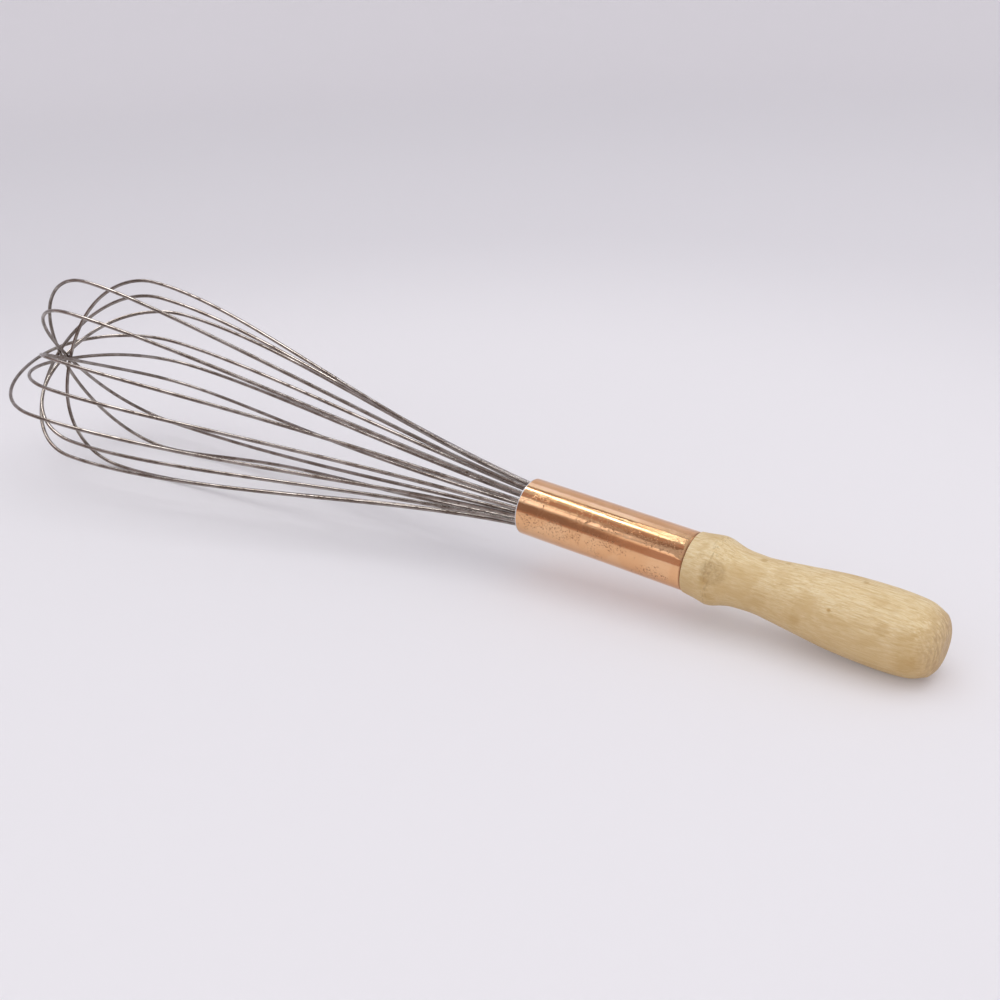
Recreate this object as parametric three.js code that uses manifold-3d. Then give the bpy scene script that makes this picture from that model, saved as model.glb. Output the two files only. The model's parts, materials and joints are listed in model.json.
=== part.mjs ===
// Balloon whisk: eight steel wire loops held in a copper ferrule on a turned wooden handle.
//
// The whisk is drawn in its own straight frame first: X along the ferrule's axis, the mouth of
// the ferrule at x = 0, the tip towards -X and the butt towards +X, and +Z up. It is then
// tilted to lie on its two lowest wires and the swell of the handle. Millimetres, +Z up.

import * as THREE from 'three';
import { mergeVertices } from 'three/addons/utils/BufferGeometryUtils.js';
import Module from 'manifold-3d';

const wasm = await Module();
wasm.setup();

// ---- Driving dimensions -------------------------------------------------------------------

const OVERALL_LENGTH = 495.3;         // 19.5 inches from the tip of the cage to the butt
const FERRULE_LENGTH = 79.2;
const HANDLE_LENGTH = 102.2;          // the wood that shows behind the ferrule
const FIT_GAP = 0.3;                  // between pieces that touch

const WIRE_DIAMETER = 1.8;
const WIRE_GRIP = 42;                 // length of each wire end inside the ferrule
const MOUTH_RADIUS = 8.9;             // ring of wire centres at the mouth of the ferrule
const FLARE_ANGLE = 5.5;              // the wires leave the mouth spreading at this, degrees
const BEND_LENGTH = 14;               // inside the mouth, where they bend from straight
const FLARE_RUN_OUT = 81;             // the gentle curve out of the mouth
const BELLY_X = -255.5;               // widest place of the cage
const BELLY_RUN_IN = 64;              // the gentle curve into the belly
const BELLY_RUN_OUT = 29;             // and the tight one out of it, over the dome
const DOME_FLATNESS = 26.4;           // how far the top of the dome stays square to the axis
const FIRST_SEAT_TURN = -13;          // first wire's place in the mouth ring, degrees from the top
const CAGE_SWING = 0.92;              // the cage leans a little sideways, degrees
const CAGE_DROOP = 0.5;               // and a little downwards, degrees

// One row for each loop, from the outermost at the tip to the innermost. seat is the loop's
// place in the ring of wires at the mouth, and setback is how far its top is behind the
// outermost one's. The rest is for its two halves: their turn about the axis at the belly, in
// degrees from the top, their distance from the axis there, and how many degrees they bow
// sideways on the way to it. A used whisk's wires have wandered, so these are not quite even.
// The halves at 167 and 202 are the ones it lies on.
const LOOPS = [
  { seat: 5, setback: 0, turns: [93, 280], radii: [59.5, 39], bows: [0, 0] },
  { seat: 7, setback: 6.5, turns: [129, 317], radii: [52, 46], bows: [0, 0] },
  { seat: 1, setback: 8.6, turns: [17, 202], radii: [57, 52.54], bows: [2.7, 12.5] },
  { seat: 6, setback: 12.2, turns: [124, 293], radii: [45.5, 51], bows: [0, 0] },
  { seat: 2, setback: 14.3, turns: [35, 219], radii: [50.5, 50.5], bows: [0, 0] },
  { seat: 0, setback: 16.4, turns: [-33, 167], radii: [51.5, 50], bows: [0, 0] },
  { seat: 4, setback: 18.5, turns: [82, 258], radii: [47.5, 50], bows: [0, 0] },
  { seat: 3, setback: 30, turns: [64, 245], radii: [43, 50.5], bows: [0, 0] },
];

const FERRULE_RADIUS = 12.5;
const FERRULE_WALL = 1.0;
const MOUTH_ROUND = 0.35;             // rounded lip at the mouth
const REAR_ROLL = 0.4;                // the rear edge is rolled in against the wood
const REAR_ROLL_LENGTH = 1.4;

const TENON_LENGTH = 34;              // the wood inside the ferrule
const BUTT_FLAT_RADIUS = 6.5;
const BUTT_EDGE = [99.2, 12.2];       // crisp turned edge round the end grain
const BUTT_CROWN = [[100.6, 10.4], [101.6, 8.4]];

const PLUG_RADIUS = 6.8;              // dowel that spreads the wire ends
const PLUG_START = 6.5;
const SOLDER_START = 2.6;             // solder that closes the mouth round the wires
const SOLDER_END = 5.8;
const SOLDER_CUT_MARGIN = 2;          // the wires' holes are cut this far past both its faces
const BINDING_DIAMETER = 1.0;
const BINDING_START = 22;
const BINDING_PITCH = 2.2;
const BINDING_TURNS = 5;

// How finely each round thing is divided.
const WIRE_SIDES = 8;
const BEND_STEPS = 2;
const FLARE_STEPS = 15;
const DOME_STEPS = 14;
const TURNED_SIDES = 40;
const HANDLE_STATIONS = 22;
const BINDING_SIDES = 6;
const BINDING_STEPS_PER_TURN = 12;

// ---- Worked-out sizes ---------------------------------------------------------------------

const WIRE_RADIUS = WIRE_DIAMETER / 2;
const BORE_RADIUS = FERRULE_RADIUS - FERRULE_WALL;
const TIP_X = FERRULE_LENGTH + HANDLE_LENGTH - OVERALL_LENGTH;
const SEAT_PITCH = 180 / LOOPS.length;
const FLARE_SLOPE = Math.tan(THREE.MathUtils.degToRad(FLARE_ANGLE));
const RING_RADIUS = MOUTH_RADIUS - (FLARE_SLOPE * BEND_LENGTH) / 2;

// ---- Materials ----------------------------------------------------------------------------

const steel = new THREE.MeshStandardMaterial({ color: 0xb4b0aa, roughness: 0.34, metalness: 1 });
const copper = new THREE.MeshStandardMaterial({ color: 0xc98a63, roughness: 0.22, metalness: 1 });
const beech = new THREE.MeshStandardMaterial({ color: 0xc9b58c, roughness: 0.62, metalness: 0 });
const dowelWood = new THREE.MeshStandardMaterial({ color: 0xb89a6a, roughness: 0.8, metalness: 0 });
const bindingSteel = new THREE.MeshStandardMaterial({ color: 0x8f8b84, roughness: 0.5, metalness: 1 });
const solder = new THREE.MeshStandardMaterial({ color: 0xa8a7a3, roughness: 0.45, metalness: 1 });

// ---- Shape helpers ------------------------------------------------------------------------

// A solid turned about X from an outline of [x, radius] points.
function turned(outline, sides) {
  const profile = outline.map(([x, radius]) => new THREE.Vector2(radius, x));
  const geometry = new THREE.LatheGeometry(profile, sides);
  geometry.rotateZ(-Math.PI / 2);
  return geometry;
}

// A round bar along a curve, closed at both ends.
function bar(path, radius, sides, steps) {
  const section = new THREE.Shape();
  for (let side = 0; side < sides; side += 1) {
    const angle = (2 * Math.PI * side) / sides;
    const corner = [radius * Math.cos(angle), radius * Math.sin(angle)];
    if (side === 0) section.moveTo(...corner);
    else section.lineTo(...corner);
  }
  return new THREE.ExtrudeGeometry(section, { steps, extrudePath: path, bevelEnabled: false });
}

// A point at a turn about the axis, in degrees from the top and positive towards -Y.
function aroundAxis(x, radius, turn) {
  const angle = THREE.MathUtils.degToRad(turn);
  return new THREE.Vector3(x, -radius * Math.sin(angle), radius * Math.cos(angle));
}

function toSolid(geometry) {
  const bare = geometry.clone();
  bare.deleteAttribute('normal');
  bare.deleteAttribute('uv');
  const merged = mergeVertices(bare);
  return new wasm.Manifold(new wasm.Mesh({
    numProp: 3,
    vertProperties: Float32Array.from(merged.attributes.position.array),
    triVerts: Uint32Array.from(merged.index.array),
  }));
}

function toGeometry(solid) {
  const mesh = solid.getMesh();
  const geometry = new THREE.BufferGeometry();
  geometry.setAttribute('position', new THREE.BufferAttribute(mesh.vertProperties, 3));
  geometry.setIndex(new THREE.BufferAttribute(mesh.triVerts, 1));
  geometry.computeVertexNormals();
  return geometry;
}

function part(name, geometry, material) {
  const mesh = new THREE.Mesh(geometry, material);
  mesh.name = name;
  return mesh;
}

// ---- Wire loops ---------------------------------------------------------------------------

const mix = THREE.MathUtils.lerp;
const ease = (t) => THREE.MathUtils.smoothstep(t, 0, 1);
const swell = (t) => (4 * t * (1 - t)) ** 2; // from nothing to one and back to nothing

// The bend inside the mouth, where every wire turns from straight to spreading.
const mouthBend = new THREE.QuadraticBezierCurve(
  new THREE.Vector2(BEND_LENGTH, RING_RADIUS),
  new THREE.Vector2(BEND_LENGTH / 2, RING_RADIUS),
  new THREE.Vector2(0, MOUTH_RADIUS),
);

// One loop's centreline: in from the ferrule along one side, over the tip and back along the
// other. The curve is stepped evenly within each stretch, so the tight dome gets short steps.
class LoopCurve extends THREE.Curve {
  constructor(loop) {
    super();
    this.halves = [0, 1].map((side) => LoopCurve.half(loop, side));
    this.sideSteps = 1 + BEND_STEPS + FLARE_STEPS + DOME_STEPS;
    this.steps = 2 * this.sideSteps;
  }

  static half(loop, side) {
    const radius = loop.radii[side];
    const topX = TIP_X + WIRE_RADIUS + loop.setback;
    const opposite = 180 * side;
    return {
      flare: new THREE.CubicBezierCurve(
        new THREE.Vector2(0, MOUTH_RADIUS),
        new THREE.Vector2(-FLARE_RUN_OUT, MOUTH_RADIUS + FLARE_SLOPE * FLARE_RUN_OUT),
        new THREE.Vector2(BELLY_X + BELLY_RUN_IN, radius),
        new THREE.Vector2(BELLY_X, radius),
      ),
      dome: new THREE.CubicBezierCurve(
        new THREE.Vector2(BELLY_X, radius),
        new THREE.Vector2(BELLY_X - BELLY_RUN_OUT, radius),
        new THREE.Vector2(topX, DOME_FLATNESS),
        new THREE.Vector2(topX, 0),
      ),
      mouthTurn: FIRST_SEAT_TURN + SEAT_PITCH * loop.seat + opposite,
      bellyTurn: loop.turns[side],
      topTurn: (loop.turns[0] + loop.turns[1] - 180) / 2 + opposite,
      bow: loop.bows[side],
    };
  }

  // The curve's own steps are kept, rather than steps of even length.
  getUtoTmapping(u) {
    return u;
  }

  getPoint(t) {
    const step = t * this.steps;
    const half = this.halves[step <= this.sideSteps ? 0 : 1];
    const along = step <= this.sideSteps ? step : this.steps - step;
    if (along < 1) {
      return aroundAxis(mix(WIRE_GRIP, BEND_LENGTH, along), RING_RADIUS, half.mouthTurn);
    }
    const bendShare = (along - 1) / BEND_STEPS;
    if (bendShare < 1) {
      const place = mouthBend.getPoint(bendShare);
      return aroundAxis(place.x, place.y, half.mouthTurn);
    }
    const flareShare = (along - 1 - BEND_STEPS) / FLARE_STEPS;
    if (flareShare < 1) {
      const place = half.flare.getPoint(flareShare);
      const turn = mix(half.mouthTurn, half.bellyTurn, ease(flareShare));
      return aroundAxis(place.x, place.y, turn + half.bow * swell(flareShare));
    }
    const domeShare = Math.min((along - 1 - BEND_STEPS - FLARE_STEPS) / DOME_STEPS, 1);
    const place = half.dome.getPoint(domeShare);
    return aroundAxis(place.x, place.y, mix(half.bellyTurn, half.topTurn, ease(domeShare)));
  }
}

function wireLoop(loop, index) {
  const curve = new LoopCurve(loop);
  const geometry = bar(curve, WIRE_RADIUS, WIRE_SIDES, curve.steps);
  return part(`wire_loop_${index + 1}`, geometry, steel);
}

// ---- Pieces that hold the wire ends -------------------------------------------------------

function corePlug() {
  const outline = [[PLUG_START, 0], [PLUG_START, PLUG_RADIUS], [WIRE_GRIP, PLUG_RADIUS], [WIRE_GRIP, 0]];
  return part('core_plug', turned(outline, TURNED_SIDES), dowelWood);
}

// Soft wire wound tightly round the outside of the ring of wire ends.
class BindingCurve extends THREE.Curve {
  getPoint(t) {
    const radius = RING_RADIUS + WIRE_RADIUS + FIT_GAP + BINDING_DIAMETER / 2;
    const x = BINDING_START + BINDING_PITCH * BINDING_TURNS * t;
    return aroundAxis(x, radius, 360 * BINDING_TURNS * t);
  }
}

function bindingWire() {
  const steps = BINDING_TURNS * BINDING_STEPS_PER_TURN;
  const geometry = bar(new BindingCurve(), BINDING_DIAMETER / 2, BINDING_SIDES, steps);
  return part('binding_wire', geometry, bindingSteel);
}

// Where the bending wire is, a given distance inside the mouth.
function wirePlace(x, turn) {
  const share = 1 - x / BEND_LENGTH;
  return aroundAxis(x, RING_RADIUS + ((FLARE_SLOPE * BEND_LENGTH) / 2) * share ** 2, turn);
}

// A disc with a hole for every wire, each hole cut along its wire.
function mouthSolder() {
  const rim = BORE_RADIUS - FIT_GAP;
  const outline = [[SOLDER_START, 0], [SOLDER_START, rim], [SOLDER_END, rim], [SOLDER_END, 0]];
  let disc = toSolid(turned(outline, TURNED_SIDES));
  for (let seat = 0; seat < 2 * LOOPS.length; seat += 1) {
    const turn = FIRST_SEAT_TURN + SEAT_PITCH * seat;
    const front = wirePlace(SOLDER_START - SOLDER_CUT_MARGIN, turn);
    const back = wirePlace(SOLDER_END + SOLDER_CUT_MARGIN, turn);
    const hole = bar(new THREE.LineCurve3(front, back), WIRE_RADIUS + FIT_GAP, WIRE_SIDES, 1);
    disc = disc.subtract(toSolid(hole));
  }
  return part('mouth_solder', toGeometry(disc), solder);
}

// ---- Ferrule and handle -------------------------------------------------------------------

function ferruleTube() {
  const rear = FERRULE_LENGTH - FIT_GAP;
  const outline = [
    [0, BORE_RADIUS + MOUTH_ROUND],
    [0, FERRULE_RADIUS - MOUTH_ROUND],
    [MOUTH_ROUND, FERRULE_RADIUS],
    [rear - REAR_ROLL_LENGTH, FERRULE_RADIUS],
    [rear - REAR_ROLL_LENGTH / 3, FERRULE_RADIUS - REAR_ROLL / 3],
    [rear, FERRULE_RADIUS - REAR_ROLL],
    [rear, BORE_RADIUS],
    [MOUTH_ROUND, BORE_RADIUS],
    [0, BORE_RADIUS + MOUTH_ROUND],
  ];
  return part('ferrule_tube', turned(outline, TURNED_SIDES), copper);
}

// The turned outline behind the ferrule, as [distance from the ferrule, radius]: a collar bead,
// a waist, the long swell of the grip and the rounded butt.
const GRIP_OUTLINE = [
  [0, 13.0], [4, 13.45], [8, 14.2], [10.3, 14.5], [12.6, 14.1], [16, 12.95], [20, 12.0],
  [26, 11.6], [32, 11.7], [46, 13.35], [62, 15.2], [78, 15.8], [88, 15.5], [94, 14.6], BUTT_EDGE,
];

function handle() {
  const joint = FERRULE_LENGTH;
  const tenonStart = joint - TENON_LENGTH;
  const tenonRadius = BORE_RADIUS - FIT_GAP;
  const side = new THREE.SplineCurve(GRIP_OUTLINE.map(([x, radius]) => new THREE.Vector2(x, radius)));
  const outline = [
    [tenonStart, 0],
    [tenonStart, tenonRadius],
    [joint, tenonRadius],
    ...side.getPoints(HANDLE_STATIONS).map((place) => [joint + place.x, place.y]),
    ...BUTT_CROWN.map(([x, radius]) => [joint + x, radius]),
    [joint + HANDLE_LENGTH, BUTT_FLAT_RADIUS],
    [joint + HANDLE_LENGTH, 0],
  ];
  return part('handle', turned(outline, TURNED_SIDES), beech);
}

// ---- Assembly -----------------------------------------------------------------------------

// The lowest height that any corner of a mesh reaches when the whisk is tilted.
function lowest(meshes, tilt) {
  let low = Infinity;
  const corner = new THREE.Vector3();
  for (const mesh of meshes) {
    const corners = mesh.geometry.attributes.position;
    for (let i = 0; i < corners.count; i += 1) {
      corner.fromBufferAttribute(corners, i).applyMatrix4(mesh.matrixWorld);
      low = Math.min(low, corner.z * Math.cos(tilt) - corner.x * Math.sin(tilt));
    }
  }
  return low;
}

// The tilt at which the cage and the handle touch the ground together, found by halving.
function restingTilt(cageMeshes, handleMesh) {
  let low = 0;
  let high = THREE.MathUtils.degToRad(12);
  for (let round = 0; round < 40; round += 1) {
    const middle = (low + high) / 2;
    if (lowest(cageMeshes, middle) < lowest([handleMesh], middle)) low = middle;
    else high = middle;
  }
  return (low + high) / 2;
}

const wires = LOOPS.map(wireLoop);
const cage = new THREE.Group();
cage.rotation.set(0, -THREE.MathUtils.degToRad(CAGE_DROOP), THREE.MathUtils.degToRad(CAGE_SWING));
cage.add(...wires, corePlug(), bindingWire(), mouthSolder());

const woodenHandle = handle();
const whisk = new THREE.Group();
whisk.add(cage, ferruleTube(), woodenHandle);
whisk.updateMatrixWorld(true);
whisk.rotation.y = restingTilt(wires, woodenHandle);

const balloonWhisk = new THREE.Group();
balloonWhisk.add(whisk);
balloonWhisk.updateMatrixWorld(true);
const extent = new THREE.Box3().setFromObject(balloonWhisk, true);
const centre = extent.getCenter(new THREE.Vector3());
whisk.position.set(-centre.x, -centre.y, -extent.min.z);

export default balloonWhisk;
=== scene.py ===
"""A balloon whisk with a copper ferrule and a turned wooden handle, lying on a pale floor.

Lengths in the shape code are millimetres in the whisk's own straight frame: X runs along the
ferrule's axis from its mouth (x = 0) to the butt, and Z is up. placed() turns them into metres
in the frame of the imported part. The camera, floor and lights are in metres in that frame.
"""

import json
import math

import bpy
from mathutils import Matrix, Vector, noise


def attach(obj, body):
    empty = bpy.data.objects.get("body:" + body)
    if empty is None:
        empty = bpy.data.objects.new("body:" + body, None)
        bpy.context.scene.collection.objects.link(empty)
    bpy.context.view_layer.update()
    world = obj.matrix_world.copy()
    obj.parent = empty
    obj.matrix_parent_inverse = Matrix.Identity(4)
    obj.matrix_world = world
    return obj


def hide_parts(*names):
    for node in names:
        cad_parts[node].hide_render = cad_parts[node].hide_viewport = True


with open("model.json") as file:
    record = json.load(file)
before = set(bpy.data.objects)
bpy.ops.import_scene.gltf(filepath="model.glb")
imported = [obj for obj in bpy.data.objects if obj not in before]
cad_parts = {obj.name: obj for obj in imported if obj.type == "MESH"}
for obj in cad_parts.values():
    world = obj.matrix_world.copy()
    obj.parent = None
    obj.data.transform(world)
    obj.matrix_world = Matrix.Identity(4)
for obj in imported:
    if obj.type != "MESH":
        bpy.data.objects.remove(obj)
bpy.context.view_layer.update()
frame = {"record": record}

MM = 0.001

# ---- Camera ---------------------------------------------------------------------------------

CAMERA_PLACE = (0.34989, -0.41251, 0.26467)
CAMERA_FORWARD = (-0.52771, 0.74176, -0.41391)
CAMERA_UP = (-0.20617, 0.36086, 0.90955)
CAMERA_LENS = 46.44  # mm, on a 36 mm sensor


def add_camera():
    data = bpy.data.cameras.new("camera")
    data.lens = CAMERA_LENS
    data.sensor_width = 36
    data.clip_start = 0.01
    data.clip_end = 50
    camera = bpy.data.objects.new("camera", data)
    bpy.context.collection.objects.link(camera)
    back = -Vector(CAMERA_FORWARD).normalized()
    right = Vector(CAMERA_UP).cross(back).normalized()
    up = back.cross(right)
    turn = Matrix((right, up, back)).transposed()
    camera.matrix_world = Matrix.Translation(CAMERA_PLACE) @ turn.to_4x4()
    bpy.context.scene.camera = camera


# ---- Dimensions, the same as the part's ------------------------------------------------------

FERRULE_LENGTH = 79.2
HANDLE_LENGTH = 102.2
FIT_GAP = 0.3

WIRE_RADIUS = 0.9
WIRE_GRIP = 42  # how far the wire ends go into the ferrule
MOUTH_RADIUS = 8.9  # of the ring of wires, at the mouth
FLARE_SLOPE = math.tan(math.radians(5.5))
BEND_LENGTH = 14
RING_RADIUS = MOUTH_RADIUS - FLARE_SLOPE * BEND_LENGTH / 2
FLARE_RUN_OUT = 81
BELLY_X = -255.5
BELLY_RUN_IN = 64
BELLY_RUN_OUT = 29
DOME_FLATNESS = 26.4
TIP_X = -313.9
FIRST_SEAT_TURN = -13
SEAT_PITCH = 22.5
CAGE_SWING = 0.92
CAGE_DROOP = 0.5

# seat, setback, then for each half: turn at the belly, radius there, sideways bow
LOOPS = [
    (5, 0.0, (93, 280), (59.5, 39), (0, 0)),
    (7, 6.5, (129, 317), (52, 46), (0, 0)),
    (1, 8.6, (17, 202), (57, 52.54), (2.7, 12.5)),
    (6, 12.2, (124, 293), (45.5, 51), (0, 0)),
    (2, 14.3, (35, 219), (50.5, 50.5), (0, 0)),
    (0, 16.4, (-33, 167), (51.5, 50), (0, 0)),
    (4, 18.5, (82, 258), (47.5, 50), (0, 0)),
    (3, 30.0, (64, 245), (43, 50.5), (0, 0)),
]

FERRULE_RADIUS = 12.5
BORE_RADIUS = 11.5
REAR_ROLL = 0.4
REAR_ROLL_LENGTH = 1.4

TENON_LENGTH = 34
TENON_CHAMFER = 0.6
BUTT_FLAT_RADIUS = 6.5
# distance from the ferrule, radius
GRIP_OUTLINE = [
    (0, 13.0), (4, 13.45), (8, 14.2), (10.3, 14.5), (12.6, 14.1), (16, 12.95), (20, 12.0),
    (26, 11.6), (32, 11.7), (46, 13.35), (62, 15.2), (78, 15.8), (88, 15.5), (94, 14.6),
    (99.2, 12.2),
]
BUTT_CROWN = [(100.6, 10.4), (101.6, 8.4)]

PLUG_START = 6.5
PLUG_RADIUS = 6.8
PLUG_CHAMFER = 0.5
SOLDER_START = 2.6
SOLDER_END = 5.8
BINDING_DIAMETER = 1.0
BINDING_START = 22
BINDING_PITCH = 2.2
BINDING_TURNS = 5

# ---- Frames ---------------------------------------------------------------------------------


def whisk_frame():
    """The whisk's own frame in the part's frame, from the flat face on the end of the handle."""
    mount = frame["record"]["mounts"][0]
    axis = Vector(mount["axis"]).normalized()
    mouth = Vector(mount["pos_m"]) - axis * (FERRULE_LENGTH + HANDLE_LENGTH) * MM
    tilt = math.atan2(-axis.z, axis.x)
    return Matrix.Translation(mouth) @ Matrix.Rotation(tilt, 4, "Y"), mouth, tilt


WHISK, MOUTH, TILT = whisk_frame()
CAGE = (
    WHISK
    @ Matrix.Rotation(math.radians(-CAGE_DROOP), 4, "Y")
    @ Matrix.Rotation(math.radians(CAGE_SWING), 4, "Z")
)


def placed(point, where=WHISK):
    return where @ (Vector(point) * MM)


def around(x, radius, turn):
    """A point at a distance from the axis, turned about it in degrees from the top."""
    angle = math.radians(turn)
    return Vector((x, -radius * math.sin(angle), radius * math.cos(angle)))


# ---- Mesh helpers ---------------------------------------------------------------------------


def mesh_object(name, vertices, faces, crease_angle=40):
    mesh = bpy.data.meshes.new(name)
    mesh.from_pydata(vertices, [], faces)
    mesh.validate()
    mesh.shade_smooth()
    mesh.set_sharp_from_angle(angle=math.radians(crease_angle))
    made = bpy.data.objects.new(name, mesh)
    bpy.context.collection.objects.link(made)
    return made


def ring_frames(path):
    """For each point of a path: its direction and a sideways vector that doesn't twist."""
    last = len(path) - 1
    along = [(path[min(i + 1, last)] - path[max(i - 1, 0)]).normalized() for i in range(len(path))]
    side = along[0].orthogonal().normalized()
    frames = []
    for direction in along:
        side = (side - direction * side.dot(direction)).normalized()
        frames.append((direction, side))
    return frames


def wire_mesh(name, path, radius, sides, where):
    """A round wire along a path, with slightly rounded ends. Its UVs are lengths in mm."""
    frames = ring_frames(path)
    round_end = [(0.0, 0.55), (0.25 * radius, 0.9), (0.6 * radius, 1.0)]  # inset, share of radius
    stations = []
    for inset, share in round_end:
        stations.append((path[0] + frames[0][0] * inset, frames[0], share))
    for place, axes in zip(path[1:-1], frames[1:-1]):
        stations.append((place, axes, 1.0))
    for inset, share in reversed(round_end):
        stations.append((path[-1] - frames[-1][0] * inset, frames[-1], share))

    vertices = []
    lengths = [0.0]
    for k, (place, (direction, side), share) in enumerate(stations):
        up = direction.cross(side)
        for j in range(sides):
            angle = 2 * math.pi * j / sides
            out = side * math.cos(angle) + up * math.sin(angle)
            vertices.append(placed(place + out * radius * share, where))
        if k:
            lengths.append(lengths[-1] + (place - stations[k - 1][0]).length)
    faces = [tuple(reversed(range(sides)))]
    for k in range(len(stations) - 1):
        low = k * sides
        high = low + sides
        for j in range(sides):
            after = (j + 1) % sides
            faces.append((low + j, low + after, high + after, high + j))
    last_ring = (len(stations) - 1) * sides
    faces.append(tuple(last_ring + j for j in range(sides)))
    made = mesh_object(name, vertices, faces)

    layer = made.data.uv_layers.new(name="along_wire")
    loops = made.data.loops
    girth = 2 * math.pi * radius
    for face in made.data.polygons:
        wraps = any(loops[n].vertex_index % sides == sides - 1 for n in face.loop_indices)
        for n in face.loop_indices:
            station, j = divmod(loops[n].vertex_index, sides)
            share = 1.0 if (wraps and j == 0) else j / sides
            layer.data[n].uv = (lengths[station], share * girth)
    return made


def turned_mesh(name, outline, sides, shift=None, closed=False, crease_angle=40):
    """A turned piece from (x, radius) points. shift(x, turn, radius) moves it in or out.

    An outline that starts and ends on the axis gets a single point at each end; a closed one,
    such as a tube's wall, joins its last ring to its first.
    """
    vertices = []
    rings = []
    for x, radius in outline:
        if radius == 0:
            rings.append([len(vertices)])
            vertices.append(placed((x, 0, 0)))
            continue
        ring = []
        for j in range(sides):
            turn = 360 * j / sides
            moved = radius + (shift(x, turn, radius) if shift else 0)
            ring.append(len(vertices))
            vertices.append(placed(around(x, moved, turn)))
        rings.append(ring)
    faces = []
    pairs = list(zip(rings, rings[1:]))
    if closed:
        pairs.append((rings[-1], rings[0]))
    for low, high in pairs:
        for j in range(sides):
            after = (j + 1) % sides
            if len(low) == 1:
                faces.append((low[0], high[j], high[after]))
            elif len(high) == 1:
                faces.append((low[after], low[j], high[0]))
            else:
                faces.append((low[after], low[j], high[j], high[after]))
    return mesh_object(name, vertices, faces, crease_angle)


def spline(points, steps):
    """A smooth line through points, with the same number of steps between each pair."""
    line = []
    for k in range(len(points) - 1):
        p0 = Vector(points[max(k - 1, 0)])
        p1 = Vector(points[k])
        p2 = Vector(points[k + 1])
        p3 = Vector(points[min(k + 2, len(points) - 1)])
        for j in range(steps):
            t = j / steps
            v0 = (p2 - p0) * 0.5
            v1 = (p3 - p1) * 0.5
            cubic = (2 * p1 - 2 * p2 + v0 + v1) * t**3
            square = (-3 * p1 + 3 * p2 - 2 * v0 - v1) * t**2
            line.append(tuple(cubic + square + v0 * t + p1))
    line.append(tuple(points[-1]))
    return line


def smoothstep(t):
    t = min(max(t, 0.0), 1.0)
    return t * t * (3 - 2 * t)


def bezier(points, t):
    """A point on a Bezier line of any degree."""
    points = [Vector(p) for p in points]
    while len(points) > 1:
        points = [a.lerp(b, t) for a, b in zip(points, points[1:])]
    return points[0]


def finished(made, material, node):
    """Gives a piece its material and lets it stand for its CAD node."""
    made.data.materials.append(material)
    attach(made, "root")
    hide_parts(node)


# ---- Wire loops -----------------------------------------------------------------------------

STRAIGHT_STEPS = 8
BEND_STEPS = 10
FLARE_STEPS = 80
DOME_STEPS = 70
WIRE_SIDES = 20


def half_loop(loop, side):
    """The centreline of half a loop, from its end in the ferrule to the top of the dome."""
    seat, setback, turns, radii, bows = loop
    opposite = 180 * side
    mouth_turn = FIRST_SEAT_TURN + SEAT_PITCH * seat + opposite
    belly_turn = turns[side]
    top_turn = (turns[0] + turns[1] - 180) / 2 + opposite
    top_x = TIP_X + WIRE_RADIUS + setback
    radius = radii[side]
    bend = [(BEND_LENGTH, RING_RADIUS), (BEND_LENGTH / 2, RING_RADIUS), (0, MOUTH_RADIUS)]
    flare = [
        (0, MOUTH_RADIUS),
        (-FLARE_RUN_OUT, MOUTH_RADIUS + FLARE_SLOPE * FLARE_RUN_OUT),
        (BELLY_X + BELLY_RUN_IN, radius),
        (BELLY_X, radius),
    ]
    dome = [
        (BELLY_X, radius),
        (BELLY_X - BELLY_RUN_OUT, radius),
        (top_x, DOME_FLATNESS),
        (top_x, 0),
    ]
    path = []
    for k in range(STRAIGHT_STEPS):
        x = WIRE_GRIP + (BEND_LENGTH - WIRE_GRIP) * k / STRAIGHT_STEPS
        path.append(around(x, RING_RADIUS, mouth_turn))
    for k in range(BEND_STEPS):
        path.append(around(*bezier(bend, k / BEND_STEPS), mouth_turn))
    for k in range(FLARE_STEPS):
        t = k / FLARE_STEPS
        turn = mouth_turn + (belly_turn - mouth_turn) * smoothstep(t)
        swell = (4 * t * (1 - t)) ** 2
        path.append(around(*bezier(flare, t), turn + bows[side] * swell))
    for k in range(DOME_STEPS):
        t = k / DOME_STEPS
        turn = belly_turn + (top_turn - belly_turn) * smoothstep(t)
        path.append(around(*bezier(dome, t), turn))
    path.append(around(top_x, 0, 0))
    return path


def wire_loop(loop, index, material):
    path = half_loop(loop, 0) + half_loop(loop, 1)[-2::-1]
    name = f"wire_loop_{index}"
    made = wire_mesh(f"{name}_fine", path, WIRE_RADIUS, WIRE_SIDES, CAGE)
    finished(made, material, name)


# ---- Ferrule --------------------------------------------------------------------------------

FERRULE_SIDES = 224
FERRULE_STEPS = 110
LIP_STEPS = 6
ROLL_STEPS = 8
BORE_STEPS = 20
LIP_ROUND = 0.42  # how far back along the tube the lip is rounded
OUTSIDE_START = 0.6  # where the straight outside begins, just past the lip
BORE_START = 1.2
REAR_EDGE_ROUND = 0.12
RIPPLE_DEPTH = 0.018  # the faint unevenness of the tube's outside

# Hollows pressed into the tube in use: distance from the mouth, turn from the top, half length,
# half width in degrees, depth.
FERRULE_DENTS = [
    (77.8, 53, 1.6, 6, 0.34),
    (75.0, 44, 2.6, 9, 0.05),
    (61.0, 64, 9.0, 20, 0.035),
    (33.0, 52, 12.0, 16, 0.03),
    (52.0, 250, 6.0, 22, 0.08),
    (20.0, 200, 7.0, 26, 0.07),
    (40.0, 150, 9.0, 20, 0.06),
]


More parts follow.
